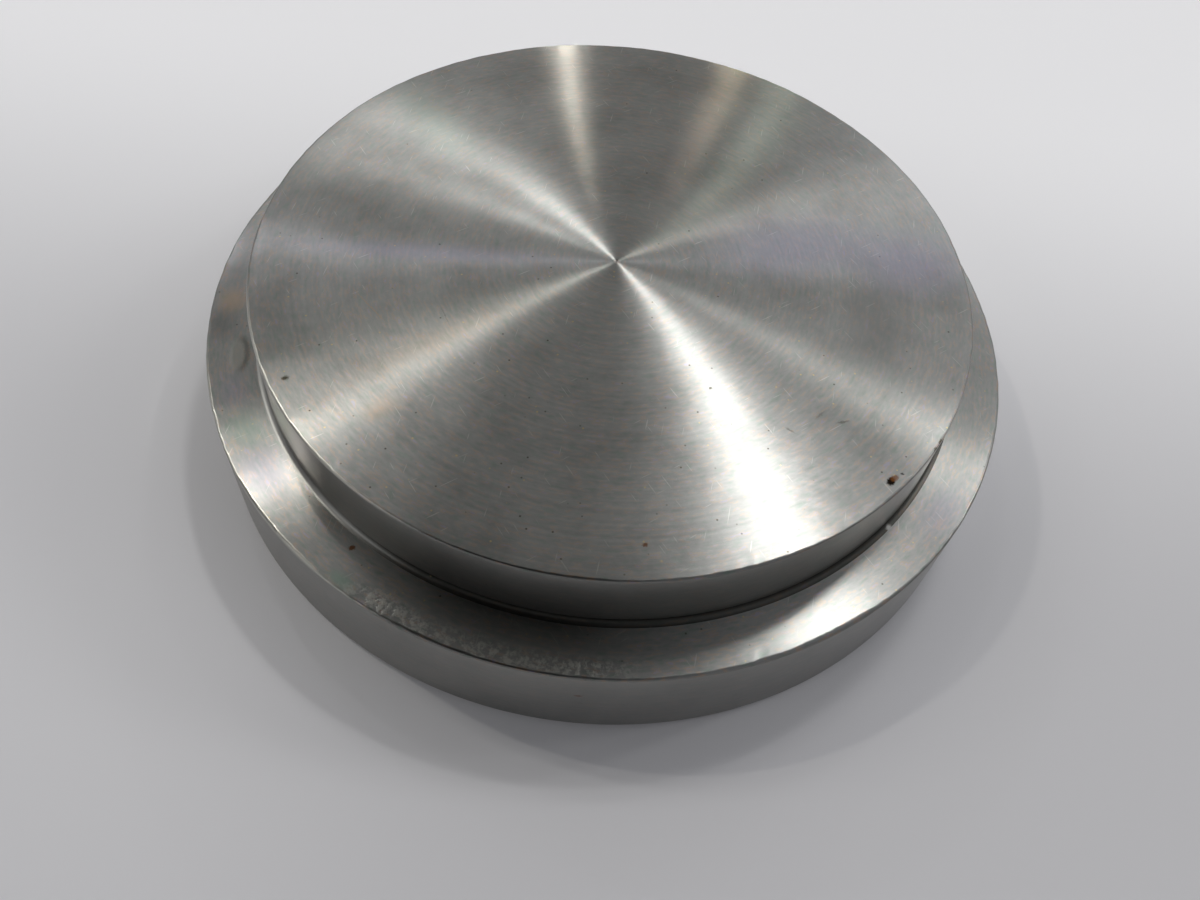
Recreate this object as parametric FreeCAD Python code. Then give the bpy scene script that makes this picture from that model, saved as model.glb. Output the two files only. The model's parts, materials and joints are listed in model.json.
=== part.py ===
import FreeCAD, Part
import os

from FreeCAD import Vector

# Hydraulic flange plug: one solid steel turning that closes a split-flange port.
# It stands on its sealing face with the neck up. The origin is the centre of that face,
# and +Z is the axis of turning. All sizes are in millimetres.

# Head, the wide disc that the two clamp halves press onto the port
head_diameter = 71.4
head_thickness = 9.5
head_top_break = 0.25
head_base_chamfer = 0.5

# Neck, the smaller disc that the clamp halves close around
shoulder_width = 4.65
neck_height = 6.5
neck_top_break = 0.2
neck_root_radius = 0.5

# Seal groove, the ring that holds the O-ring in the sealing face
groove_rim_width = 3.95
groove_width = 4.0
groove_depth = 2.8
groove_floor_radius = 0.5
groove_mouth_break = 0.15

# Centre pip, the dimple that the facing tool leaves in the middle of the neck's end
pip_diameter = 0.5
pip_depth = 0.12

# Radii and heights that follow from the sizes above
head_radius = head_diameter / 2
neck_radius = head_radius - shoulder_width
groove_outer_radius = head_radius - groove_rim_width
groove_inner_radius = groove_outer_radius - groove_width
pip_radius = pip_diameter / 2
sealing_face_height = 0
shoulder_height = head_thickness
end_height = head_thickness + neck_height

axis_point = Vector(0, 0, 0)
axis_direction = Vector(0, 0, 1)


class Corner:
    """A corner of the half section, at its radius and height, with what the tool left there."""

    def __init__(self, radius, height, form="sharp", size=0):
        self.point = Vector(radius, 0, height)
        self.form = form
        self.size = size

    def toward(self, other):
        """The point on this corner's side where its chamfer or round begins."""
        direction = (other.point - self.point).normalize()
        return self.point + direction * self.size


def corner_edge(before, corner, after):
    """The flat chamfer or the quarter round that takes the place of a square corner."""
    start = corner.toward(before)
    end = corner.toward(after)
    if corner.form == "chamfer":
        return Part.LineSegment(start, end).toShape()
    centre = start + end - corner.point
    outward = (corner.point - centre).normalize()
    return Part.Arc(start, centre + outward * corner.size, end).toShape()


def section_face(corners):
    """The closed half section that runs through the corners in order."""
    edges = []
    for index, corner in enumerate(corners):
        before = corners[index - 1]
        after = corners[(index + 1) % len(corners)]
        if corner.size > 0:
            edges.append(corner_edge(before, corner, after))
        edges.append(Part.LineSegment(corner.toward(after), after.toward(corner)).toShape())
    return Part.Face(Part.Wire(edges))


# The half section, from the axis along the sealing face, up the rim and back over the neck
seal_groove = [
    Corner(groove_inner_radius, sealing_face_height, "chamfer", groove_mouth_break),
    Corner(groove_inner_radius, groove_depth, "round", groove_floor_radius),
    Corner(groove_outer_radius, groove_depth, "round", groove_floor_radius),
    Corner(groove_outer_radius, sealing_face_height, "chamfer", groove_mouth_break),
]
head_rim = [
    Corner(head_radius, sealing_face_height, "chamfer", head_base_chamfer),
    Corner(head_radius, shoulder_height, "chamfer", head_top_break),
]
neck_rim = [
    Corner(neck_radius, shoulder_height, "round", neck_root_radius),
    Corner(neck_radius, end_height, "chamfer", neck_top_break),
]
centre_pip = [
    Corner(pip_radius, end_height),
    Corner(0, end_height - pip_depth),
]
face_centre = [Corner(0, sealing_face_height)]

half_section = section_face(face_centre + seal_groove + head_rim + neck_rim + centre_pip)
flange_plug = half_section.revolve(axis_point, axis_direction, 360)

if flange_plug.ShapeType != "Solid" or not flange_plug.isValid():
    raise RuntimeError("the turned section did not close into one sound solid")

os.makedirs("parts", exist_ok=True)
flange_plug.exportStep("parts/flange_plug.step")
print(f"flange_plug: {flange_plug.Volume:.1f} cubic millimetres, {end_height:.1f} mm tall")
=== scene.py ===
import json
import math

import bpy
from mathutils import Matrix, Vector, noise


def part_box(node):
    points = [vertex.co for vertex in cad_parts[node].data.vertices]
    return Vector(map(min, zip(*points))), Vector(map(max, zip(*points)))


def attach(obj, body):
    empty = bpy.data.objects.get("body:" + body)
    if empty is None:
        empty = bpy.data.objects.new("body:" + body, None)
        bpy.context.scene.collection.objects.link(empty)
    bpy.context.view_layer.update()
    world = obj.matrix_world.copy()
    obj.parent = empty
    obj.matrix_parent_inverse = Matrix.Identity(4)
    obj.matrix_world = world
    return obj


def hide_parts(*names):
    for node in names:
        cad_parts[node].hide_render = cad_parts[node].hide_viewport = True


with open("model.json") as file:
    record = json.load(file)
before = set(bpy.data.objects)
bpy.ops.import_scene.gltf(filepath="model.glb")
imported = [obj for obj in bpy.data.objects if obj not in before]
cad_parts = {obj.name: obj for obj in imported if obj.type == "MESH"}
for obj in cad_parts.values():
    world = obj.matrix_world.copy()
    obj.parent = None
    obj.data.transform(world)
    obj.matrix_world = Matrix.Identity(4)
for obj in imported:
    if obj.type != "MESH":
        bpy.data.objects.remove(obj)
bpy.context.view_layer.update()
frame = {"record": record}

mm = 0.001
micron = 0.001 * mm


def linearColour(hexCode):        # sRGB hex to the linear colour that the shaders use
    parts = [int(hexCode[i:i + 2], 16) / 255 for i in (1, 3, 5)]
    return [c / 12.92 if c <= 0.04045 else ((c + 0.055) / 1.055) ** 2.4 for c in parts] + [1.0]


def addNode(tree, kind, inputs, **settings):    # a socket as an input is linked, a value is set
    node = tree.nodes.new(kind)
    for name, value in settings.items():
        setattr(node, name, value)
    for name, value in inputs.items():
        if isinstance(value, bpy.types.NodeSocket):
            tree.links.new(value, node.inputs[name])
        else:
            node.inputs[name].default_value = value
    return node


def blankMaterial(name):
    material = bpy.data.materials.new(name)
    material.use_nodes = True
    material.node_tree.nodes.clear()
    return material, material.node_tree


# The flange plug, one steel turning. Its main sizes come from the frame, and these are the small ones.
# Lengths are in mm and angles in degrees
flangePlug = {
    "neckBreak": 0.2,          # the edge of the neck's end is broken this much
    "rootRadius": 0.5,         # fillet where the neck meets the shoulder
    "headBreak": 0.25,
    "baseChamfer": 0.5,
    "grooveOuter": 31.75,      # radii of the O-ring groove in the sealing face
    "grooveInner": 27.75,
    "grooveDepth": 2.8,
    "grooveFloorRadius": 0.5,
    "grooveBreak": 0.15,
    "pipRadius": 0.25,         # the dimple that the facing tool leaves in the middle
    "pipDepth": 0.12,
    # a hand-held file breaks the edges and takes more off in some places. Wear is a share of their width
    "slowWear": 0.5,
    "slowLength": 7.0,
    "quickWear": 0.35,
    "quickLength": 0.9,
    "leastWidth": 0.4,
    "chippedBearing": 303,     # from +X, on the head's rim
    "chippedReach": 16,
    "chippedWear": 0.9,
    "chipFineness": 1.7,
    # how fine the mesh is
    "segments": 720,           # round the axis, so that rims stay round in close views
    "roundSteps": 8,           # pieces along a fillet or a worn edge
    "ringStep": 2.0,           # between rings on plain surfaces
    "spotPlace": (22.99, -19.42),    # segments lie closer together at the bearing of the largest rust spot
    "spotReach": 0.567,
    "spotStep": 0.05,
    "sharpAngle": 25,          # edges that turn more than this are shaded sharp
}

mounts = {mount["name"]: mount for mount in frame["record"]["mounts"]}
neckRadius = mounts["neck"]["dims"]["r_mm"]
headRadius = mounts["head_rim"]["dims"]["r_mm"]
shoulderHeight = mounts["clamp_shoulder"]["pos_m"][2] / mm
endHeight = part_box("flange_plug")[1].z / mm
still = Vector((0, 0))


def cornerPoints(before, corner, after, form, size):    # each is a place and the way it moves with wear
    toStart = (before - corner).normalized() * size
    toEnd = (after - corner).normalized() * size
    if form == "sharp":
        return [(corner, still)]
    if form == "flat":
        return [(corner + toStart, still), (corner + toEnd, still)]
    steps = flangePlug["roundSteps"]
    turns = [math.pi / 2 * i / steps for i in range(steps + 1)]
    offsets = [toStart * (1 - math.sin(t)) + toEnd * (1 - math.cos(t)) for t in turns]
    if form == "worn":
        return [(corner, offset) for offset in offsets]
    return [(corner + offset, still) for offset in offsets]


def splitRun(start, end):          # places after start and before end
    count = max(1, round((end - start).length / flangePlug["ringStep"]))
    return [start.lerp(end, i / count) for i in range(1, count)]


def halfSection():                 # from the middle of the sealing face to the middle of the neck's end
    p = flangePlug
    corners = [    # radius, height, form, size, and the finish of the surface that follows
        (0, 0, "sharp", 0, "sealingFace"),
        (p["grooveInner"], 0, "flat", p["grooveBreak"], "grooveWall"),
        (p["grooveInner"], p["grooveDepth"], "round", p["grooveFloorRadius"], "grooveWall"),
        (p["grooveOuter"], p["grooveDepth"], "round", p["grooveFloorRadius"], "grooveWall"),
        (p["grooveOuter"], 0, "flat", p["grooveBreak"], "sealingFace"),
        (headRadius, 0, "flat", p["baseChamfer"], "turnedWall"),
        (headRadius, shoulderHeight, "worn", p["headBreak"], "clampShoulder"),
        (neckRadius, shoulderHeight, "round", p["rootRadius"], "turnedWall"),
        (neckRadius, endHeight, "worn", p["neckBreak"], "neckEnd"),
        (p["pipRadius"], endHeight, "sharp", 0, "neckEnd"),
        (0, endHeight - p["pipDepth"], "sharp", 0, "neckEnd"),
    ]
    edgeFinish = {"flat": "brokenEdge", "worn": "brokenEdge", "round": "rootFillet", "sharp": "neckEnd"}
    places = [Vector(corner[:2]) for corner in corners]
    bends = [[(places[0], still)]]
    for i in range(1, len(corners) - 1):
        bends.append(cornerPoints(places[i - 1], places[i], places[i + 1], *corners[i][2:4]))
    bends.append([(places[-1], still)])
    points = list(bends[0])
    bandFinishes = []              # one finish for each band between two points
    for i in range(1, len(corners)):
        run = splitRun(sum(points[-1], still), sum(bends[i][0], still))
        points += [(place, still) for place in run] + bends[i]
        bandFinishes += [corners[i - 1][4]] * (len(run) + 1)
        bandFinishes += [edgeFinish[corners[i][2]]] * (len(bends[i]) - 1)
    return points, bandFinishes


def sectionLengths(points):        # mm along the section to each point, with plain edges
    plain = [place + offset for place, offset in points]
    lengths = [0.0]
    for start, end in zip(plain, plain[1:]):
        lengths.append(lengths[-1] + (end - start).length)
    return lengths


def segmentAngles():               # even, and closer together at the bearing of the largest rust spot
    p = flangePlug
    even = [2 * math.pi * i / p["segments"] for i in range(p["segments"])]
    spotAngle = math.atan2(p["spotPlace"][1], p["spotPlace"][0]) % (2 * math.pi)
    spotRadius = math.hypot(*p["spotPlace"])
    reach = p["spotReach"] / spotRadius
    step = p["spotStep"] / spotRadius
    fine = [spotAngle + step * i for i in range(-int(reach / step), int(reach / step) + 1)]
    return sorted([a for a in even if abs(a - spotAngle) > reach + step] + fine)


def edgeWidth(corner, angle):      # of a worn edge at a place round the rim, as a share of its plain width
    p = flangePlug
    around = Vector((math.cos(angle), math.sin(angle), 0)) * corner.x + Vector((0, 0, corner.y))
    slow = p["slowWear"] * noise.noise(around / p["slowLength"])
    quick = p["quickWear"] * noise.noise(around / p["quickLength"])
    width = 1 + slow + quick
    fromChips = (math.degrees(angle) - p["chippedBearing"]) / p["chippedReach"]
    if corner.x > neckRadius and abs(fromChips) < 1:
        chips = 0.5 + 0.5 * noise.noise(around / p["quickLength"] * p["chipFineness"])
        width += p["chippedWear"] * (1 - fromChips ** 2) * chips
    return max(p["leastWidth"], width)


def spunPoints(points, lengths, angles):    # vertices, the length along the section at each, and the rings
    verts = []
    vertLengths = []
    rings = []
    for (place, offset), length in zip(points, lengths):
        onAxis = place.x == 0      # a point on the axis is one vertex for all segments
        rings.append([len(verts) + (0 if onAxis else j) for j in range(len(angles))])
        for angle in angles[:1] if onAxis else angles:
            x, z = place + offset * (edgeWidth(place, angle) if offset.length else 1)
            verts.append((x * math.cos(angle) * mm, x * math.sin(angle) * mm, z * mm))
            vertLengths.append(length)
    return verts, vertLengths, rings


def bandFaces(lengths, angles, rings):      # faces between the rings, and each corner's place when unrolled
    faces = []
    unrolled = []
    turnEnds = angles[1:] + [angles[0] + 2 * math.pi]
    for i in range(len(rings) - 1):
        low, high = [length / lengths[-1] for length in lengths[i:i + 2]]
        for j in range(len(angles)):
            k = (j + 1) % len(angles)
            left, right = [angle / (2 * math.pi) for angle in (angles[j], turnEnds[j])]
            face = [(rings[i][j], left, low), (rings[i][k], right, low),
                    (rings[i + 1][k], right, high), (rings[i + 1][j], left, high)]
            if face[0][0] == face[1][0]:      # beside the axis a face has three sides
                face = [(face[0][0], (left + right) / 2, low)] + face[2:]
            elif face[2][0] == face[3][0]:
                face = face[:2] + [(face[2][0], (left + right) / 2, high)]
            faces.append([corner[0] for corner in face])
            unrolled += [value for corner in face for value in corner[1:]]
    return faces, unrolled


def buildPlug():
    points, bandFinishes = halfSection()
    lengths = sectionLengths(points)
    angles = segmentAngles()
    verts, vertLengths, rings = spunPoints(points, lengths, angles)
    faces, unrolled = bandFaces(lengths, angles, rings)
    finishNames = list(dict.fromkeys(bandFinishes))
    slots = [finishNames.index(finish) for finish in bandFinishes for angle in angles]
    mesh = bpy.data.meshes.new("flangePlugSkin")
    mesh.from_pydata(verts, [], faces)
    mesh.polygons.foreach_set("material_index", slots)
    mesh.uv_layers.new(name="OFBake").data.foreach_set("uv", unrolled)    # round, and along the section
    # the tool's way along the section in mm, which its marks follow
    mesh.attributes.new("toolPath", "FLOAT", "POINT").data.foreach_set("value", vertLengths)
    mesh.shade_smooth()
    mesh.set_sharp_from_angle(angle=math.radians(flangePlug["sharpAngle"]))
    plug = bpy.data.objects.new("flangePlugSkin", mesh)
    bpy.context.scene.collection.objects.link(plug)
    return plug, finishNames


# Bare carbon steel, faced and turned, never ground or polished. Tool marks run round the axis, so every
# finish is smooth round the axis and rough across it, which draws light out into streaks
steelColours = {
    "bare": "#979794",         # clean cut steel, a neutral grey
    "handled": "#7b7b78",      # soft darker blotches where it has been handled
    # darker grey: painted shade on the broken edges that dims their highlights, and darker patches on the
    # left of the shoulder
    "dirty": "#5f5e5c",
    "soot": "#33322e",         # painted shade: the root of the neck is drawn dark, as if in shadow
    "green": "#8c9b90",        # thin film colours that show on fresh tool marks
    "peach": "#ab9680",
    "violet": "#9792a6",
    "pale": "#bdbcb4",
    "speck": "#3a3526",
    "speckPale": "#c2ad78",
    "rust": "#6b4220",
    "rustDark": "#17120e",
}
finishes = {    # roughness, how one-sided it is, heights of marks in microns, then shares from 0 to 1
    "neckEnd": dict(
        roughness=0.277, grooved=1.0, strokes=6, rings=7, grain=0.6,
        flecks=0.45, tint=0.4, blotch=1.0, specks=0.9, scratches=0.4, colour="bare"),
    "clampShoulder": dict(
        roughness=0.277, grooved=1.0, strokes=4, rings=5, grain=0.7,
        flecks=0.5, tint=0.5, blotch=0.8, specks=0.8, scratches=0.35, colour="bare"),
    "turnedWall": dict(
        roughness=0.279, grooved=0.75, strokes=4, rings=3, grain=0.8,
        flecks=0.2, tint=0.2, blotch=0.4, specks=0.3, scratches=0.0, colour="bare"),
    # the broken edges are painted darker as shade, which dims their highlights
    "brokenEdge": dict(
        roughness=0.277, grooved=0.6, strokes=3, rings=1, grain=1.5,
        flecks=0.6, tint=0.5, blotch=0.5, specks=0.5, scratches=0.0, colour="dirty"),
    # the root fillet's colour is painted shade, with bare steel only where it catches light on the left
    "rootFillet": dict(
        roughness=0.34, grooved=0.7, strokes=4, rings=2, grain=1.5,
        flecks=0.6, tint=0.1, blotch=0.0, specks=0.3, scratches=0.0, colour="soot"),
    "sealingFace": dict(
        roughness=0.279, grooved=1.0, strokes=6, rings=6, grain=0.8,
        flecks=0.4, tint=0.3, blotch=0.6, specks=0.5, scratches=0.3, colour="bare"),
    "grooveWall": dict(
        roughness=0.3, grooved=0.75, strokes=6, rings=5, grain=1.0,
        flecks=0.5, tint=0.2, blotch=0.3, specks=0.2, scratches=0.0, colour="bare"),
}
turnedSteel = {                # lengths in mm. A range is where a noise begins to show, and where it is full
    "strokeLength": 0.85,      # a tool mark is this long round the axis before it fades
    "strokePitch": 0.3,        # real marks lie about 0.1 mm apart, drawn coarser so that they show
    "ringPitch": 0.5,
    "grainSize": 0.16,
    "bandPitch": 3.0,          # wide bands round the axis are a little rougher
    "bandRange": (0.35, 0.7),
    "bandRoughness": 0.008,
    "blotchSize": 6.0,
    "blotchRange": (0.4, 0.68),
    "tintOffset": 0.3,         # in strokes, so that film colours don't follow the heights
    "filmColours": [(0.32, "green"), (0.44, "bare"), (0.54, "bare"), (0.61, "peach"), (0.7, "violet")],
    "ringShare": 0.3,          # of the light and dark that strokes and rings give together
    "fleckPlaces": (5, -15),   # flecks grow from the first y to the second
    "fleckShares": (0.65, 1.3),
    "speckSpacing": 0.9,
    "speckSize": 0.11,
    "speckCore": 0.027,        # a speck is strongest this near its middle
    "speckSide": (0.3, -0.95, 0),    # there are more specks this way, from the first place to the second
    "speckPlaces": (-15, 30),
    "speckless": (0.9, 0.35),        # share of cells with no speck, at those two places
    "darkSpecks": 0.45,        # share of the specks that are dark
    "scratchLength": 2.2,
    "scratchSpacing": 0.16,
    "scratchRange": (0.86, 0.92),
    "scratchTurns": (38, -52, 84),   # degrees from +X
    "wobble": 0.22,            # how far the outline of a spot strays
}
chatterAndPaintedLight = {                    # the tool chattered here and tore small flecks; their pale colour is partly painted light, as they show only beyond the neck's shadow. Lengths in mm
    "finish": "clampShoulder",
    "middle": (-7.0, -34.2, 0),
    "size": (13.0, 7.5),       # half sizes of the place
    "fullWithin": 0.7,         # the share of those from which the flecks thin out
    "radius": 34.15,           # they lie outside this radius, give or take radiusRange, where the neck's shadow on the shoulder ends
    "radiusRange": 0.5,
    "fleckSize": 0.42,
    "fleckRange": (0.46, 0.62),
    "height": 4,               # microns
    "colour": "pale",
    "share": 0.85,
}
# Spots, stains and scratches, and painted light and shade on the root fillet and the broken edges: x and y
# in mm (and z on a wall), half sizes along and across, degrees from +X
marks = {
    "neckEnd": [
        dict(at=(22.84, -19.56), size=(0.42, 0.3), turn=60, colour="rustDark", strength=1.0, soft=0.3),
        dict(at=(23.12, -19.22), size=(0.36, 0.24), turn=40, colour="rust", strength=0.75, soft=0.4),
        dict(at=(23.75, -18.75), size=(0.13, 0.1), turn=0, colour="rustDark", strength=0.8, soft=0.5),
        dict(at=(4.61, -27.71), size=(0.2, 0.15), turn=20, colour="rust", strength=0.8, soft=0.5),
        dict(at=(19.32, -14.46), size=(0.45, 0.1), turn=20, colour="speck", strength=0.5, soft=0.6),
        dict(at=(17.5, -14.05), size=(0.5, 0.09), turn=50, colour="speck", strength=0.35, soft=0.7),
        dict(at=(15.1, -15.9), size=(0.36, 0.09), turn=-30, colour="speck", strength=0.45, soft=0.7),
        dict(at=(8.7, -12.7), size=(0.14, 0.12), turn=0, colour="speck", strength=0.8, soft=0.5),
        dict(at=(-24.33, -16.86), size=(0.26, 0.2), turn=30, colour="speck", strength=0.9, soft=0.5),
        dict(at=(-16.5, -18.6), size=(1.3, 0.8), turn=45, colour="peach", strength=0.35, soft=0.9),
        dict(at=(-19.6, -8.5), size=(2.2, 0.045), turn=-43, colour="peach", strength=0.7, soft=0.7),
        dict(at=(-13.4, -8.5), size=(0.9, 0.05), turn=-60, colour="handled", strength=0.8, soft=0.7),
        dict(at=(22.5, -4.0), size=(5.0, 2.2), turn=80, colour="handled", strength=0.5, soft=0.9),
        dict(at=(15.5, 4.5), size=(6.0, 3.0), turn=15, colour="violet", strength=0.35, soft=0.9),
        dict(at=(26.0, 4.0), size=(4.0, 3.0), turn=10, colour="violet", strength=0.4, soft=0.9),
        dict(at=(-19.0, 15.5), size=(5.0, 2.0), turn=130, colour="green", strength=0.3, soft=0.9),
        dict(at=(-14.0, -11.5), size=(6.0, 0.9), turn=40, colour="peach", strength=0.2, soft=0.9),
        dict(at=(-16.0, -1.6), size=(9.0, 0.9), turn=5, colour="violet", strength=0.3, soft=0.9),
    ],
    "clampShoulder": [
        dict(at=(-17.42, -27.39), size=(0.26, 0.2), turn=30, colour="rust", strength=0.9, soft=0.4),
        dict(at=(-31.2, -10.0), size=(1.9, 0.75), turn=104, colour="speck", strength=0.45, soft=0.25),
        dict(at=(-31.5, -10.1), size=(1.7, 0.62), turn=104, colour="pale", strength=0.4, soft=0.3),
        dict(at=(-33.7, -4.2), size=(1.3, 1.0), turn=95, colour="peach", strength=0.6, soft=0.7),
        dict(at=(-33.9, -7.0), size=(1.6, 1.4), turn=100, colour="dirty", strength=0.45, soft=0.9),
        dict(at=(-33.9, 0.6), size=(2.6, 1.2), turn=90, colour="dirty", strength=0.5, soft=0.9),
        dict(at=(-26.0, -21.5), size=(2.2, 1.6), turn=130, colour="violet", strength=0.3, soft=0.9),
        dict(at=(-28.6, -17.6), size=(1.8, 1.2), turn=120, colour="green", strength=0.5, soft=0.9),
        dict(at=(-30.6, -14.0), size=(1.6, 1.0), turn=115, colour="violet", strength=0.25, soft=0.9),
        dict(at=(-17.6, -30.2), size=(1.0, 0.5), turn=150, colour="green", strength=0.9, soft=0.8),
        dict(at=(29.0, -17.5), size=(2.4, 1.2), turn=60, colour="violet", strength=0.25, soft=0.9),
    ],
    "turnedWall": [
        dict(at=(1.19, -35.68, 6.2), size=(0.3, 0.14), turn=0, colour="rust", strength=0.7, soft=0.6),
    ],
    "rootFillet": [
        # the first mark is painted light: bare steel on the left of the fillet, where it catches light
        dict(at=(-26.0, -16.5), size=(15.0, 6.0), turn=122, colour="bare", strength=1.0, soft=0.5),
        dict(at=(24.6, -19.6), size=(0.25, 0.25), turn=0, colour="bare", strength=0.8, soft=0.5),
    ],
    "brokenEdge": [
        # painted highlight: the broken edges are pale at the front left, where they catch light
        dict(at=(-25.5, -20.5), size=(12.0, 8.0), turn=131, colour="pale", strength=0.8, soft=0.6),
        dict(at=(27.07, -15.2), size=(0.3, 0.2), turn=60, colour="speck", strength=0.9, soft=0.5),
        dict(at=(26.6, -16.0), size=(0.22, 0.18), turn=60, colour="speck", strength=0.8, soft=0.5),
    ],
}


def steelPatterns(tree):           # what the marks of every finish are drawn from
    s = turnedSteel
    place = addNode(tree, "ShaderNodeTexCoord", {}).outputs["Object"]
    path = addNode(tree, "ShaderNodeAttribute", {}, attribute_name="toolPath").outputs["Fac"]

    # short strokes that run round the axis, each on its own path, over plain rings and a fine grain
    strokePath = addNode(tree, "ShaderNodeMath", {0: path, 1: 1 / s["strokePitch"]},
                         operation="MULTIPLY").outputs[0]
    strokePlace = addNode(tree, "ShaderNodeVectorMath", {0: place, "Scale": 1 / (s["strokeLength"] * mm)},
                          operation="SCALE").outputs[0]
    strokes = addNode(tree, "ShaderNodeTexNoise", {"Vector": strokePlace, "W": strokePath, "Scale": 1.0,
                      "Detail": 1.0}, noise_dimensions="4D").outputs[0]
    tintPath = addNode(tree, "ShaderNodeMath", {0: strokePath, 1: s["tintOffset"]},
                       operation="ADD").outputs[0]
    tints = addNode(tree, "ShaderNodeTexNoise", {"Vector": strokePlace, "W": tintPath, "Scale": 1.0,
                    "Detail": 2.0}, noise_dimensions="4D").outputs[0]
    rings = addNode(tree, "ShaderNodeTexNoise", {"W": path, "Scale": 1 / s["ringPitch"], "Detail": 1.0},
                    noise_dimensions="1D").outputs[0]
    grain = addNode(tree, "ShaderNodeTexNoise", {"Vector": place, "Scale": 1 / (s["grainSize"] * mm),
                    "Detail": 1.0}).outputs

    # places that stray a little, for spots with a ragged outline
    stray = addNode(tree, "ShaderNodeVectorMath", {0: grain["Color"], 1: (0.5, 0.5, 0.5)},
                    operation="SUBTRACT").outputs[0]
    strayed = addNode(tree, "ShaderNodeVectorMath", {0: stray, "Scale": s["wobble"] * mm},
                      operation="SCALE").outputs[0]
    ragged = addNode(tree, "ShaderNodeVectorMath", {0: place, 1: strayed}, operation="ADD").outputs[0]
    return {"place": place, "path": path, "strokes": strokes, "tints": tints, "rings": rings,
            "grain": grain[0], "ragged": ragged}


def toolMarkHeight(tree, pattern, finish):
    height = addNode(tree, "ShaderNodeMath", {0: pattern["strokes"], 1: finish["strokes"] * micron},
                     operation="MULTIPLY").outputs[0]
    for kind in ("rings", "grain"):
        height = addNode(tree, "ShaderNodeMath", {0: pattern[kind], 1: finish[kind] * micron, 2: height},
                         operation="MULTIPLY_ADD").outputs[0]
    return height


def handledSteel(tree, pattern, finish):    # soft blotches of handling, and film colours on the strokes
    s = turnedSteel
    blotches = addNode(tree, "ShaderNodeTexNoise", {
        "Vector": pattern["place"], "Scale": 1 / (s["blotchSize"] * mm), "Detail": 6.0,
        "Roughness": 0.65}).outputs[0]
    blotch = addNode(tree, "ShaderNodeMapRange", {
        "Value": blotches, "From Min": s["blotchRange"][0], "From Max": s["blotchRange"][1],
        "To Max": finish["blotch"]}).outputs[0]
    colour = addNode(tree, "ShaderNodeMix", {
        "Factor": blotch, "A": linearColour(steelColours[finish["colour"]]),
        "B": linearColour(steelColours["handled"])}, data_type="RGBA").outputs["Result"]
    film = addNode(tree, "ShaderNodeValToRGB", {"Fac": pattern["tints"]})
    for position, tint in s["filmColours"][2:]:
        film.color_ramp.elements.new(position)
    for element, (position, tint) in zip(film.color_ramp.elements, s["filmColours"]):
        element.position = position
        element.color = linearColour(steelColours[tint])
    return addNode(tree, "ShaderNodeMix", {"Factor": finish["tint"], "A": colour, "B": film.outputs[0]},
                   data_type="RGBA").outputs["Result"]


def fleckedSteel(tree, pattern, finish, colour):    # light and dark strokes and rings, most towards -Y
    s = turnedSteel
    flecks = addNode(tree, "ShaderNodeMix", {"Factor": s["ringShare"], "A": pattern["tints"],
                     "B": pattern["rings"]}, data_type="FLOAT").outputs[0]
    flecks = addNode(tree, "ShaderNodeMath", {0: flecks, 1: 0.5}, operation="SUBTRACT").outputs[0]
    backward = addNode(tree, "ShaderNodeSeparateXYZ", {0: pattern["place"]}).outputs["Y"]
    contrast = addNode(tree, "ShaderNodeMapRange", {
        "Value": backward, "From Min": s["fleckPlaces"][0] * mm, "From Max": s["fleckPlaces"][1] * mm,
        "To Min": s["fleckShares"][0] * finish["flecks"],
        "To Max": s["fleckShares"][1] * finish["flecks"]}).outputs[0]
    shade = addNode(tree, "ShaderNodeMath", {0: flecks, 1: contrast, 2: 1.0},
                    operation="MULTIPLY_ADD").outputs[0]
    return addNode(tree, "ShaderNodeVectorMath", {0: colour, "Scale": shade}, operation="SCALE").outputs[0]


def rustSpecks(tree, pattern, finish, colour):    # fine specks where the bare steel has begun to rust
    s = turnedSteel
    cells = addNode(tree, "ShaderNodeTexVoronoi", {"Vector": pattern["place"],
                    "Scale": 1 / (s["speckSpacing"] * mm)}).outputs
    spot = addNode(tree, "ShaderNodeMapRange", {
        "Value": cells["Distance"], "From Min": s["speckSize"] / s["speckSpacing"],
        "From Max": s["speckCore"] / s["speckSpacing"]}).outputs[0]
    sideways = addNode(tree, "ShaderNodeVectorMath", {0: pattern["place"], 1: s["speckSide"]},
                       operation="DOT_PRODUCT").outputs["Value"]
    speckless = addNode(tree, "ShaderNodeMapRange", {
        "Value": sideways, "From Min": s["speckPlaces"][0] * mm, "From Max": s["speckPlaces"][1] * mm,
        "To Min": s["speckless"][0], "To Max": s["speckless"][1]}).outputs[0]
    cell = addNode(tree, "ShaderNodeSeparateXYZ", {0: cells["Color"]}).outputs
    chosen = addNode(tree, "ShaderNodeMath", {0: cell["X"], 1: speckless},
                     operation="GREATER_THAN").outputs[0]
    speck = addNode(tree, "ShaderNodeMath", {0: spot, 1: chosen}, operation="MULTIPLY").outputs[0]
    speck = addNode(tree, "ShaderNodeMath", {0: speck, 1: finish["specks"]}, operation="MULTIPLY").outputs[0]
    isPale = addNode(tree, "ShaderNodeMath", {0: cell["Y"], 1: s["darkSpecks"]},
                     operation="GREATER_THAN").outputs[0]
    speckColour = addNode(tree, "ShaderNodeMix", {
        "Factor": isPale, "A": linearColour(steelColours["speck"]),
        "B": linearColour(steelColours["speckPale"])}, data_type="RGBA").outputs["Result"]
    return addNode(tree, "ShaderNodeMix", {"Factor": speck, "A": colour, "B": speckColour},
                   data_type="RGBA").outputs["Result"]


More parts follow.
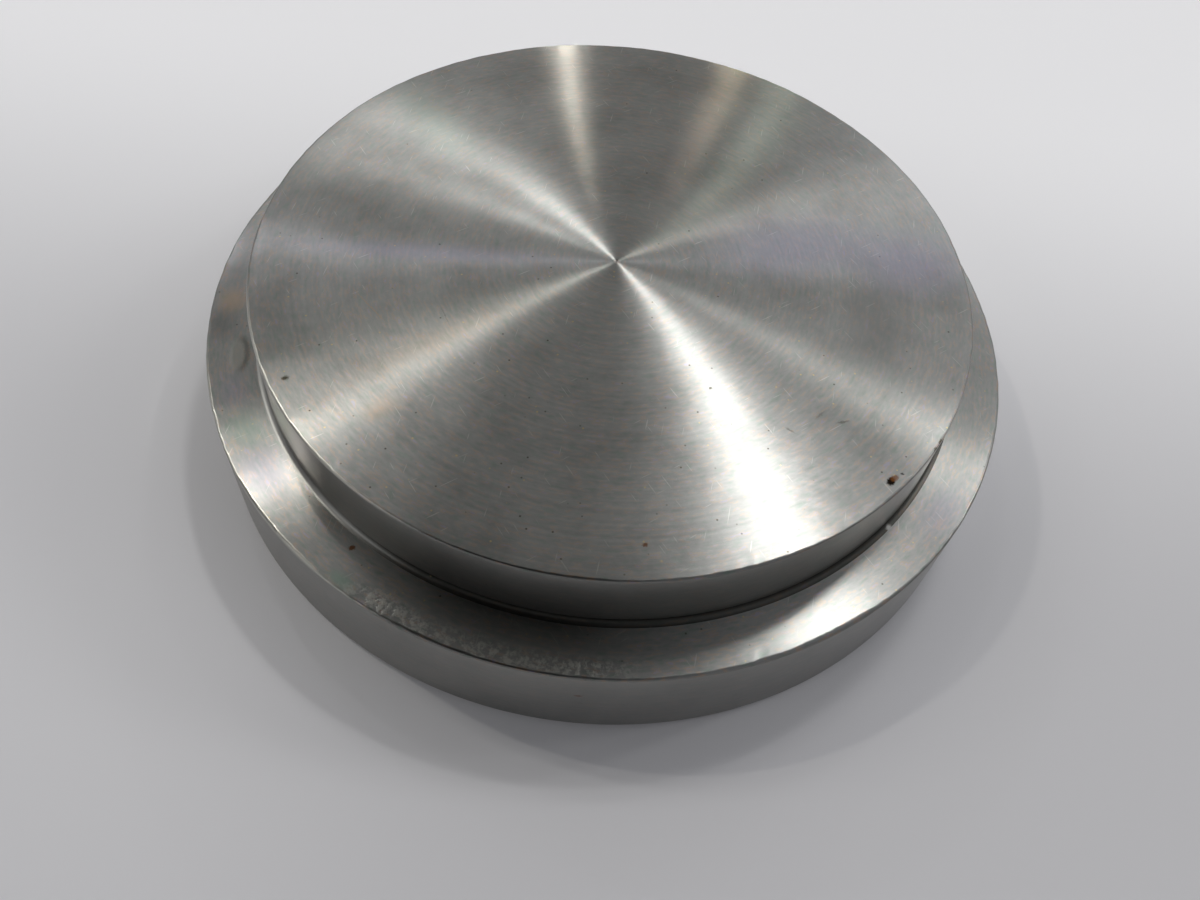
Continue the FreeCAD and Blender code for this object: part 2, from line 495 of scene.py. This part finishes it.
def fineScratches(tree, pattern, finish, colour):    # short ones from handling
    s = turnedSteel
    sizes = (s["scratchLength"] * mm, s["scratchSpacing"] * mm, mm)
    for turn in s["scratchTurns"]:
        along = addNode(tree, "ShaderNodeMapping", {
            "Vector": pattern["place"], "Rotation": (0, 0, math.radians(turn)), "Scale": sizes},
            vector_type="TEXTURE").outputs[0]
        lines = addNode(tree, "ShaderNodeTexNoise", {"Vector": along, "Scale": 1.0, "Detail": 0.0},
                        noise_dimensions="2D").outputs[0]
        scratch = addNode(tree, "ShaderNodeMapRange", {
            "Value": lines, "From Min": s["scratchRange"][0], "From Max": s["scratchRange"][1],
            "To Max": finish["scratches"]}).outputs[0]
        colour = addNode(tree, "ShaderNodeMix", {
            "Factor": scratch, "A": colour, "B": linearColour(steelColours["pale"])},
            data_type="RGBA").outputs["Result"]
    return colour


def spotsAndStains(tree, pattern, ownMarks, colour):    # each has a slightly ragged outline
    for mark in ownMarks:
        middle = [value * mm for value in (mark["at"] + (0,))[:3]]
        sizes = [mark["size"][0] * mm, mark["size"][1] * mm, 1.0]    # on a flat face a mark has any height
        if len(mark["at"]) == 3:
            sizes = [mark["size"][0] * mm, mm, mark["size"][1] * mm]
        local = addNode(tree, "ShaderNodeMapping", {
            "Vector": pattern["ragged"], "Location": middle, "Rotation": (0, 0, math.radians(mark["turn"])),
            "Scale": sizes}, vector_type="TEXTURE").outputs[0]
        distance = addNode(tree, "ShaderNodeVectorMath", {0: local}, operation="LENGTH").outputs["Value"]
        inside = addNode(tree, "ShaderNodeMapRange", {
            "Value": distance, "From Min": 1 + mark["soft"], "From Max": 1 - mark["soft"],
            "To Max": mark["strength"]}, interpolation_type="SMOOTHSTEP").outputs[0]
        colour = addNode(tree, "ShaderNodeMix", {
            "Factor": inside, "A": colour, "B": linearColour(steelColours[mark["colour"]])},
            data_type="RGBA").outputs["Result"]
    return colour


def tornAndLitFlecks(tree, pattern):     # how much a place is torn along the outer edge, with pale flecks that are partly painted light beyond the neck's shadow
    local = addNode(tree, "ShaderNodeMapping", {
        "Vector": pattern["ragged"], "Location": [value * mm for value in chatterAndPaintedLight["middle"]],
        "Scale": [size * mm for size in chatterAndPaintedLight["size"]] + [1.0]}, vector_type="TEXTURE").outputs[0]
    distance = addNode(tree, "ShaderNodeVectorMath", {0: local}, operation="LENGTH").outputs["Value"]
    area = addNode(tree, "ShaderNodeMapRange", {
        "Value": distance, "From Min": 1.0, "From Max": chatterAndPaintedLight["fullWithin"]}).outputs[0]
    flat = addNode(tree, "ShaderNodeVectorMath", {0: pattern["ragged"], 1: (1, 1, 0)},
                   operation="MULTIPLY").outputs[0]
    radius = addNode(tree, "ShaderNodeVectorMath", {0: flat}, operation="LENGTH").outputs["Value"]
    outer = addNode(tree, "ShaderNodeMapRange", {
        "Value": radius, "From Min": (chatterAndPaintedLight["radius"] - chatterAndPaintedLight["radiusRange"]) * mm,
        "From Max": (chatterAndPaintedLight["radius"] + chatterAndPaintedLight["radiusRange"]) * mm}).outputs[0]
    flecks = addNode(tree, "ShaderNodeTexNoise", {
        "Vector": pattern["place"], "Scale": 1 / (chatterAndPaintedLight["fleckSize"] * mm), "Detail": 3.0,
        "Roughness": 0.7}).outputs[0]
    tornAndLit = addNode(tree, "ShaderNodeMapRange", {
        "Value": flecks, "From Min": chatterAndPaintedLight["fleckRange"][0], "From Max": chatterAndPaintedLight["fleckRange"][1],
        "To Max": chatterAndPaintedLight["share"]}).outputs[0]
    for share in (area, outer):
        tornAndLit = addNode(tree, "ShaderNodeMath", {0: tornAndLit, 1: share}, operation="MULTIPLY").outputs[0]
    return tornAndLit


def steelMaterial(finishName):
    s = turnedSteel
    finish = finishes[finishName]
    material, tree = blankMaterial("turnedSteel_" + finishName)
    pattern = steelPatterns(tree)
    height = toolMarkHeight(tree, pattern, finish)
    colour = handledSteel(tree, pattern, finish)
    colour = fleckedSteel(tree, pattern, finish, colour)
    colour = rustSpecks(tree, pattern, finish, colour)
    if finish["scratches"]:
        colour = fineScratches(tree, pattern, finish, colour)
    colour = spotsAndStains(tree, pattern, marks.get(finishName, []), colour)
    if finishName == chatterAndPaintedLight["finish"]:
        tornAndLit = tornAndLitFlecks(tree, pattern)
        # pale torn flecks: partly painted light, beyond the neck's shadow
        colour = addNode(tree, "ShaderNodeMix", {
            "Factor": tornAndLit, "A": colour, "B": linearColour(steelColours[chatterAndPaintedLight["colour"]])},
            data_type="RGBA").outputs["Result"]
        height = addNode(tree, "ShaderNodeMath", {0: tornAndLit, 1: chatterAndPaintedLight["height"] * micron, 2: height},
                         operation="MULTIPLY_ADD").outputs[0]
    bump = addNode(tree, "ShaderNodeBump", {"Strength": 1.0, "Distance": 1.0, "Height": height}).outputs[0]
    bands = addNode(tree, "ShaderNodeTexNoise", {"W": pattern["path"], "Scale": 1 / s["bandPitch"],
                    "Detail": 2.0}, noise_dimensions="1D").outputs[0]
    roughness = addNode(tree, "ShaderNodeMapRange", {
        "Value": bands, "From Min": s["bandRange"][0], "From Max": s["bandRange"][1],
        "To Min": finish["roughness"], "To Max": finish["roughness"] + s["bandRoughness"]}).outputs[0]
    roundAxis = addNode(tree, "ShaderNodeTangent", {}, direction_type="RADIAL", axis="Z").outputs[0]
    shader = addNode(tree, "ShaderNodeBsdfPrincipled", {
        "Base Color": colour, "Metallic": 1.0, "Roughness": roughness, "Anisotropic": finish["grooved"],
        "Anisotropic Rotation": 0.25, "Tangent": roundAxis, "Normal": bump})
    addNode(tree, "ShaderNodeOutputMaterial", {"Surface": shader.outputs[0]})
    return material


plug, finishNames = buildPlug()
for finishName in finishNames:
    plug.data.materials.append(steelMaterial(finishName))
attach(plug, "root")
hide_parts("flange_plug")
print("plug:", len(plug.data.vertices), "points,", len(plug.data.materials), "finishes")


# A sheet of uncoated white card that the plug stands on, matt and soft, with painted light: it is lighter
# towards the back and round a place on the left. It curves up all round, far from the plug. Sizes in metres
card = {
    "flat": 1.2,
    "flatSteps": 6,
    "reach": 3.0,
    "rise": 1.1,
    "riseSteps": 24,
    "segments": 96,
    "gap": 0.00001,                # it lies a hair below the sealing face
    "colour": "#dad9db",
    "backGlow": 0.28,              # painted light: a little lighter towards the back, between these two places
    "backFrom": -0.025,
    "backTo": 0.05,
    "sideGlow": 0.06,              # and painted light round a place on the left, which lightens the plug's shadow there
    "sideAt": (-0.034, -0.03, 0),
    "sideReach": 0.045,
}


def buildCard():
    section = [(card["flat"] * i / card["flatSteps"], 0.0) for i in range(card["flatSteps"] + 1)]
    for i in range(1, card["riseSteps"] + 1):
        t = i / card["riseSteps"]
        section.append((card["flat"] + (card["reach"] - card["flat"]) * t, card["rise"] * t ** 3))
    count = card["segments"]
    verts = [(0.0, 0.0, 0.0)]
    for radius, height in section[1:]:
        for j in range(count):
            angle = 2 * math.pi * j / count
            verts.append((radius * math.cos(angle), radius * math.sin(angle), height))
    faces = [(0, 1 + j, 1 + (j + 1) % count) for j in range(count)]
    for i in range(len(section) - 2):
        low = 1 + i * count
        for j in range(count):
            k = (j + 1) % count
            faces.append((low + j, low + count + j, low + count + k, low + k))
    mesh = bpy.data.meshes.new("whiteCard")
    mesh.from_pydata(verts, [], faces)
    mesh.shade_smooth()
    sheet = bpy.data.objects.new("whiteCard", mesh)
    sheet.location.z = -card["gap"]
    bpy.context.scene.collection.objects.link(sheet)
    return sheet


def cardMaterial():                # its glow, painted light, shows to the camera and in reflections, and lights nothing
    material, tree = blankMaterial("mattWhiteCard")
    place = addNode(tree, "ShaderNodeTexCoord", {}).outputs["Object"]
    backward = addNode(tree, "ShaderNodeSeparateXYZ", {0: place}).outputs["Y"]
    backGlow = addNode(tree, "ShaderNodeMapRange", {
        "Value": backward, "From Min": card["backFrom"], "From Max": card["backTo"],
        "To Max": card["backGlow"]}, interpolation_type="SMOOTHSTEP").outputs[0]
    fromSide = addNode(tree, "ShaderNodeVectorMath", {0: place, 1: card["sideAt"]},
                       operation="DISTANCE").outputs["Value"]
    sideGlow = addNode(tree, "ShaderNodeMapRange", {
        "Value": fromSide, "From Min": card["sideReach"], "From Max": 0.0,
        "To Max": card["sideGlow"]}, interpolation_type="SMOOTHSTEP").outputs[0]
    glow = addNode(tree, "ShaderNodeMath", {0: backGlow, 1: sideGlow}, operation="ADD").outputs[0]
    rays = addNode(tree, "ShaderNodeLightPath", {}).outputs
    seen = rays["Is Camera Ray"]
    for kind in ("Is Glossy Ray", "Is Transmission Ray"):
        seen = addNode(tree, "ShaderNodeMath", {0: seen, 1: rays[kind]}, operation="MAXIMUM").outputs[0]
    strength = addNode(tree, "ShaderNodeMath", {0: glow, 1: seen}, operation="MULTIPLY").outputs[0]
    shader = addNode(tree, "ShaderNodeBsdfPrincipled", {
        "Base Color": linearColour(card["colour"]), "Roughness": 0.9, "Emission Color": (1, 1, 1, 1),
        "Emission Strength": strength})
    addNode(tree, "ShaderNodeOutputMaterial", {"Surface": shader.outputs[0]})
    return material


sheet = buildCard()
sheet.data.materials.append(cardMaterial())
print("card: flat for", card["flat"], "metres round the plug")


# Soft lamps: most stand behind the plug and at its sides, and the largest stands at its front left.
# Bearings run from +Y towards +X. All but the power are in degrees, and the power compares the lamps
lamps = {
    "highBack": dict(bearing=26, rise=60, wide=8.6, tall=1.5, roll=-8, power=98, tint="#ffffff"),
    "highBackCore": dict(bearing=26, rise=59.6, wide=1.3, tall=3.2, roll=-58, power=45, tint="#ffffff"),
    "highBackSoft": dict(bearing=18, rise=55, wide=15, tall=3, roll=6, power=22, tint="#ffffff"),
    "highBackLeft": dict(bearing=16, rise=56.7, wide=4, tall=1.5, roll=6, power=40, tint="#ffffff"),
    "highBackSide": dict(bearing=28, rise=60, wide=2.7, tall=18, roll=-60, power=12, tint="#ffffff"),
    "leftHigh": dict(bearing=-30, rise=55.5, wide=1.5, tall=1.5, roll=0, power=28, tint="#ffffff"),
    "leftSide": dict(bearing=-67, rise=52.5, wide=1.5, tall=1.5, roll=0, power=110, tint="#fffbf2"),
    "leftTube": dict(bearing=-64, rise=46.5, wide=1.2, tall=20, roll=26, power=110, tint="#fffdf8"),
    "leftThin": dict(bearing=-25, rise=58.5, wide=14, tall=1, roll=48, power=6, tint="#ffffff"),
    "leftFront": dict(bearing=-120, rise=30, wide=25, tall=25, roll=0, power=110, tint="#ffffff"),
    "rightSide": dict(bearing=63.5, rise=36, wide=3.7, tall=9.4, roll=2, power=98, tint="#ffffff"),
    "rightLow": dict(bearing=75, rise=30, wide=6, tall=10, roll=0, power=82, tint="#ffffff"),
    "rightHigh": dict(bearing=37, rise=48.6, wide=1.4, tall=1, roll=26, power=22, tint="#ffffff"),
    "leftLow": dict(bearing=-35, rise=39, wide=1, tall=1, roll=0, power=19, tint="#f2f2ff"),
    "backThin": dict(bearing=10, rise=31.4, wide=1, tall=1, roll=0, power=12, tint="#f4fff0"),
    "rightWindow": dict(bearing=24.4, rise=33, wide=19.6, tall=8, roll=24, power=42, tint="#eef4ff"),
}
# Narrow beams, two low ones from behind and a high one from the right. Each lights the plug only beyond its
# tip, which is a radius in mm and an angle from +X
beams = {
    "left": dict(bearing=-6.6, rise=18, tip=(10, 106.5), power=92, tint="#fff8ee"),
    "right": dict(bearing=7.2, rise=18, tip=(11.5, 70.6), power=36, tint="#ffedd2"),
    "side": dict(bearing=43.5, rise=49, tip=(29, 191.5), power=190, tint="#ffffff"),
}
room = {"back": 0.36, "right": 0.4, "even": 0.01, "backTint": "#ffffff", "rightTint": "#f4f7ff"}
lampSetup = {
    "level": 1.87,                 # makes all the light stronger or weaker
    "distance": 1.4,               # metres
    "beamCone": 1.1,               # degrees
    "beamBlend": 0.3,
    "beamRadius": 0.003,           # metres
}


def towards(bearing, rise):
    a, e = math.radians(bearing), math.radians(rise)
    return Vector((math.cos(e) * math.sin(a), math.cos(e) * math.cos(a), math.sin(e)))


def addLamp(name, light, settings, roll, aim):
    light.color = linearColour(settings["tint"])[:3]
    lamp = bpy.data.objects.new(name, light)
    direction = towards(settings["bearing"], settings["rise"])
    lamp.location = aim + direction * lampSetup["distance"]
    rolled = Matrix.Rotation(math.radians(roll), 3, "Z")
    lamp.rotation_euler = (direction.to_track_quat("Z", "Y").to_matrix() @ rolled).to_euler()
    lamp.visible_camera = False
    bpy.context.scene.collection.objects.link(lamp)


def addSoftLamp(name, settings):
    distance = lampSetup["distance"]
    light = bpy.data.lights.new(name, "AREA")
    light.shape = "RECTANGLE"
    light.size = distance * math.radians(settings["wide"])
    light.size_y = distance * math.radians(settings["tall"])
    light.energy = lampSetup["level"] * settings["power"] / 1000 * math.pi * distance ** 2
    addLamp(name, light, settings, settings["roll"], Vector((0, 0, 0)))


def addBeam(name, settings):
    distance = lampSetup["distance"]
    light = bpy.data.lights.new(name, "SPOT")
    light.spot_size = math.radians(lampSetup["beamCone"])
    light.spot_blend = lampSetup["beamBlend"]
    light.shadow_soft_size = lampSetup["beamRadius"]
    light.energy = lampSetup["level"] * settings["power"] / 1000 * 4 * math.pi * distance ** 2
    radius, angle = settings["tip"][0] * mm, math.radians(settings["tip"][1])
    tip = Vector((radius * math.cos(angle), radius * math.sin(angle), endHeight * mm))
    halfCone = math.radians(lampSetup["beamCone"] / 2)
    reach = distance * math.tan(halfCone) / math.sin(math.radians(settings["rise"]))
    addLamp(name, light, settings, 0, tip + towards(settings["bearing"], 0) * reach)


def addRoom():                     # a dim room that is lighter behind the plug and on its right
    world = bpy.data.worlds.new("dimRoom")
    bpy.context.scene.world = world
    world.use_nodes = True
    tree = world.node_tree
    tree.nodes.clear()
    ray = addNode(tree, "ShaderNodeTexCoord", {}).outputs["Generated"]
    sides = addNode(tree, "ShaderNodeSeparateXYZ", {0: ray}).outputs
    light = [room["even"] * lampSetup["level"]] * 3
    for axis, side in (("Y", "back"), ("X", "right")):
        share = addNode(tree, "ShaderNodeMath", {0: sides[axis], 1: 0.0}, operation="MAXIMUM").outputs[0]
        tinted = [value * room[side] * lampSetup["level"] for value in linearColour(room[side + "Tint"])[:3]]
        part = addNode(tree, "ShaderNodeVectorMath", {0: tinted, "Scale": share},
                       operation="SCALE").outputs[0]
        light = addNode(tree, "ShaderNodeVectorMath", {0: part, 1: light}, operation="ADD").outputs[0]
    glow = addNode(tree, "ShaderNodeBackground", {"Color": light, "Strength": 1.0})
    addNode(tree, "ShaderNodeOutputWorld", {"Surface": glow.outputs[0]})


for lampName, lampSettings in lamps.items():
    addSoftLamp(lampName, lampSettings)
for beamName, beamSettings in beams.items():
    addBeam(beamName + "Beam", beamSettings)
addRoom()
print("light:", len(lamps), "lamps,", len(beams), "beams and a dim room")


# The camera, as near and as steep as the photograph was taken. Metres, mm for lens and sensor, and degrees
closeCamera = {
    "place": (0.00058, -0.06515, 0.08105),
    "lens": 31.35,
    "sensor": 36.0,
    "tilt": 34.78,
    "roll": 7.01,
    "nearest": 0.005,
    "farthest": 20.0,
}


def addCamera():
    data = bpy.data.cameras.new("closeCamera")
    data.lens = closeCamera["lens"]
    data.sensor_width = closeCamera["sensor"]
    data.clip_start = closeCamera["nearest"]
    data.clip_end = closeCamera["farthest"]
    camera = bpy.data.objects.new("closeCamera", data)
    camera.location = closeCamera["place"]
    camera.rotation_mode = "ZYX"
    camera.rotation_euler = [math.radians(closeCamera["tilt"]), 0, math.radians(closeCamera["roll"])]
    bpy.context.scene.collection.objects.link(camera)
    bpy.context.scene.camera = camera


addCamera()
bpy.context.scene.view_settings.view_transform = "Standard"
print("camera: lens", closeCamera["lens"], "mm")
